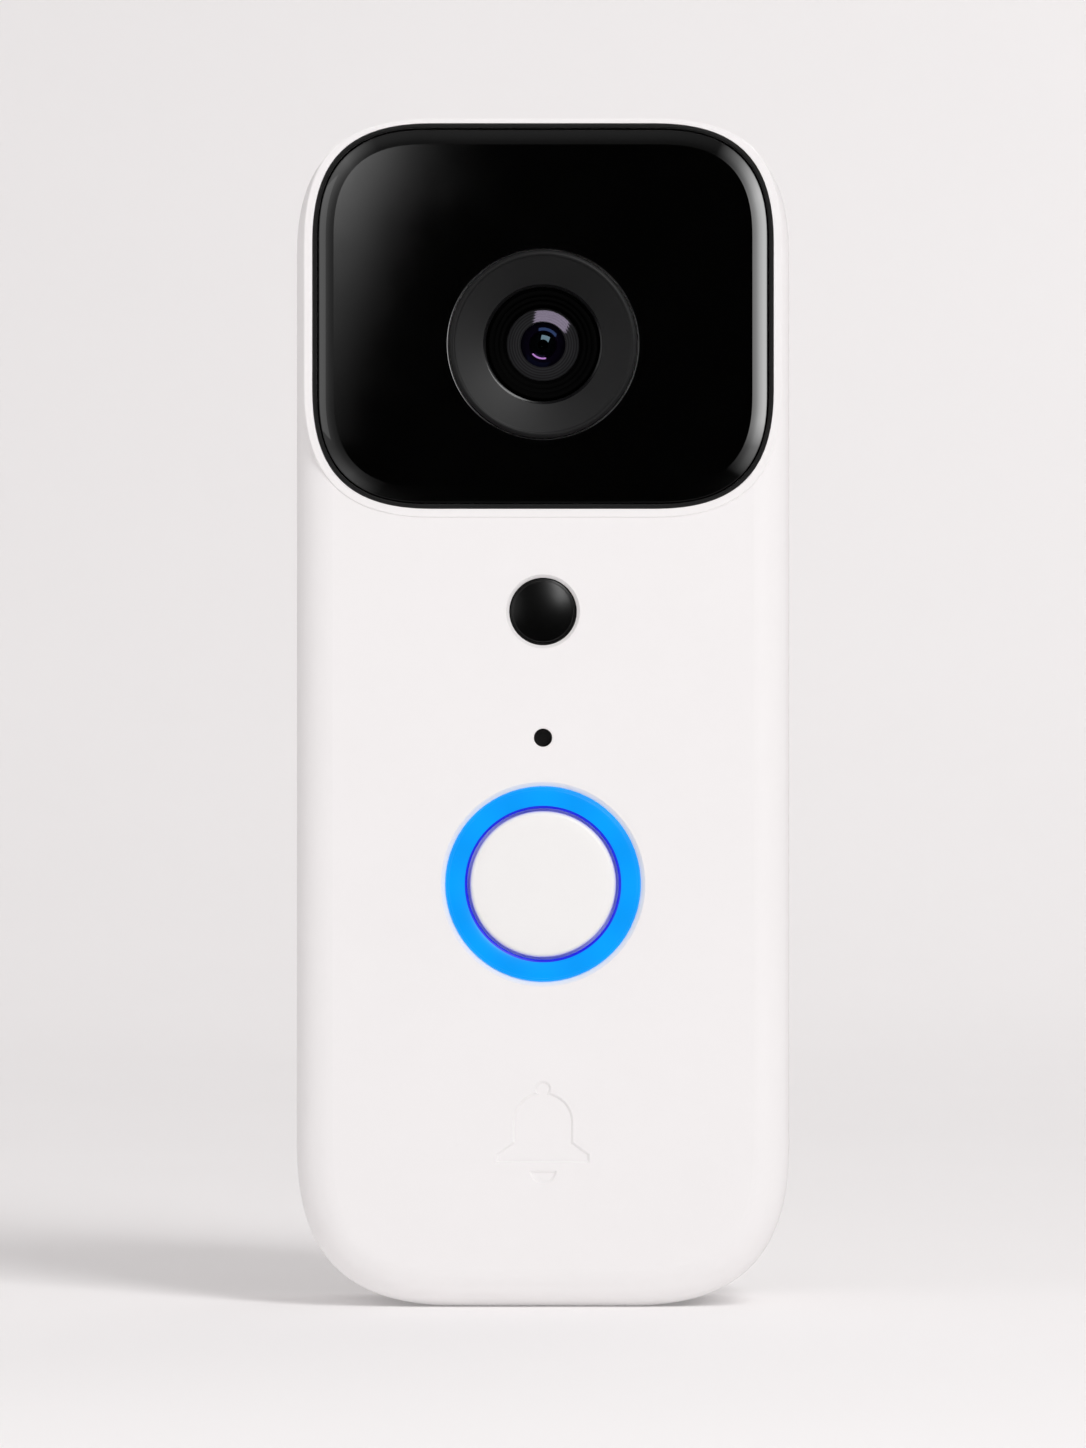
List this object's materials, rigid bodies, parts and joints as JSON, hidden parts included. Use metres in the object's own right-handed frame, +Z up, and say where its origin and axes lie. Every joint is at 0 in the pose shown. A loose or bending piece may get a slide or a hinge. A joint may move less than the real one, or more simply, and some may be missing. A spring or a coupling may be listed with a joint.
{
  "type": "video doorbell",
  "caption": "Upright battery video doorbell: glossy camera window over a white body with motion sensor, microphone hole, lit push button and a clip-on wall plate.",
  "frame": {"origin": "middle of the base of the bounding box", "axes": "+Z up along the body, +Y from the visitor's side into the wall, +X to the visitor's right"},
  "size_m": [0.054, 0.028, 0.13],
  "materials": {
    "antenna_cable": "insulated wire",
    "battery": "foil pouch",
    "battery_leads": "insulated wire",
    "battery_pad": "foam",
    "board_chips": "moulded",
    "board_screws": "zinc plated",
    "board_sockets": "moulded",
    "button_cap": "satin",
    "button_membrane": "matte",
    "button_switch": "moulded",
    "camera_flex": "polyimide film",
    "camera_window": "polished",
    "case_screws": "zinc plated",
    "case_seal": "matte",
    "front_shell": "satin",
    "hinge_pin": "zinc plated",
    "image_sensor": "polished",
    "ir_board": "solder mask",
    "ir_cut_filter": "coated",
    "ir_lamps": "polished",
    "latch_spring": "zinc plated",
    "lens_barrel": "anodised, bead blasted",
    "lens_front": "coated",
    "lens_holder": "moulded",
    "lens_iris": "anodised, bead blasted",
    "lens_middle": "coated",
    "lens_rear": "coated",
    "lens_trim_ring": "anodised, bead blasted",
    "light_ring": "translucent",
    "light_sensor": "polished",
    "main_board": "solder mask",
    "mic_boot": "matte",
    "mic_mesh": "woven",
    "microphone": "nickel plated",
    "pir_lens": "polished",
    "pir_sensor": "nickel plated",
    "power_board": "solder mask",
    "power_capacitors": "sleeved",
    "power_ribbon": "polyimide film",
    "rear_shell": "satin",
    "release_latch": "moulded",
    "reset_button": "moulded",
    "reset_switch": "moulded",
    "ring_lamps": "moulded",
    "sensor_board": "solder mask",
    "shield_cans": "nickel plated",
    "speaker_cone": "pressed",
    "speaker_frame": "moulded",
    "speaker_gasket": "foam",
    "speaker_leads": "insulated wire",
    "speaker_magnet": "nickel plated",
    "switch_plunger": "moulded",
    "terminal_inserts": "turned",
    "terminal_plates": "turned",
    "terminal_screws": "turned",
    "usb_flap": "matte",
    "usb_socket": "nickel plated",
    "wall_plate": "moulded",
    "wifi_antenna": "polyimide film",
    "window_gasket": "matte"
  },
  "bodies": {
    "housing": {"antenna_cable": "antenna_cable", "battery": "battery", "battery_leads": "battery_leads", "battery_pad": "battery_pad", "board_chips": "board_chips", "board_screws": "board_screws", "board_sockets": "board_sockets", "button_membrane": "button_membrane", "button_switch": "button_switch", "camera_flex": "camera_flex", "camera_window": "camera_window", "case_screws": "case_screws", "case_seal": "case_seal", "front_shell": "front_shell", "hinge_pin": "hinge_pin", "image_sensor": "image_sensor", "ir_board": "ir_board", "ir_cut_filter": "ir_cut_filter", "ir_lamps": "ir_lamps", "latch_spring": "latch_spring", "lens_barrel": "lens_barrel", "lens_front": "lens_front", "lens_holder": "lens_holder", "lens_iris": "lens_iris", "lens_middle": "lens_middle", "lens_rear": "lens_rear", "lens_trim_ring": "lens_trim_ring", "light_ring": "light_ring", "light_sensor": "light_sensor", "main_board": "main_board", "mic_boot": "mic_boot", "mic_mesh": "mic_mesh", "microphone": "microphone", "pir_lens": "pir_lens", "pir_sensor": "pir_sensor", "power_board": "power_board", "power_capacitors": "power_capacitors", "power_ribbon": "power_ribbon", "rear_shell": "rear_shell", "reset_switch": "reset_switch", "ring_lamps": "ring_lamps", "sensor_board": "sensor_board", "shield_cans": "shield_cans", "speaker_cone": "speaker_cone", "speaker_frame": "speaker_frame", "speaker_gasket": "speaker_gasket", "speaker_leads": "speaker_leads", "speaker_magnet": "speaker_magnet", "terminal_inserts": "terminal_inserts", "terminal_plates": "terminal_plates", "terminal_screws": "terminal_screws", "usb_socket": "usb_socket", "wall_plate": "wall_plate", "wifi_antenna": "wifi_antenna", "window_gasket": "window_gasket"},
    "button": {"button_cap": "button_cap", "switch_plunger": "switch_plunger"},
    "reset": {"reset_button": "reset_button"},
    "flap": {"usb_flap": "usb_flap"},
    "latch": {"release_latch": "release_latch"}
  },
  "joints": [
    {"name": "button_press", "type": "slide", "parent": "housing", "child": "button", "axis": [0, 1, 0], "range_m": [0, 0.0005], "stiffness_N_per_m": 3000, "springref_m": -0.0002, "deforming": ["button_membrane"]},
    {"name": "reset_press", "type": "slide", "parent": "housing", "child": "reset", "axis": [0, -1, 0], "range_m": [0, 0.0004], "stiffness_N_per_m": 2500, "springref_m": -0.0002},
    {"name": "flap_hinge", "type": "hinge", "parent": "housing", "child": "flap", "pos_m": [0, 0.0105, 0.0141], "axis": [-1, 0, 0], "range_deg": [0, 95]},
    {"name": "latch_release", "type": "slide", "parent": "housing", "child": "latch", "axis": [0, 0, 1], "range_m": [0, 0.0013], "stiffness_N_per_m": 800, "springref_m": -0.001, "deforming": ["latch_spring"]}
  ]
}
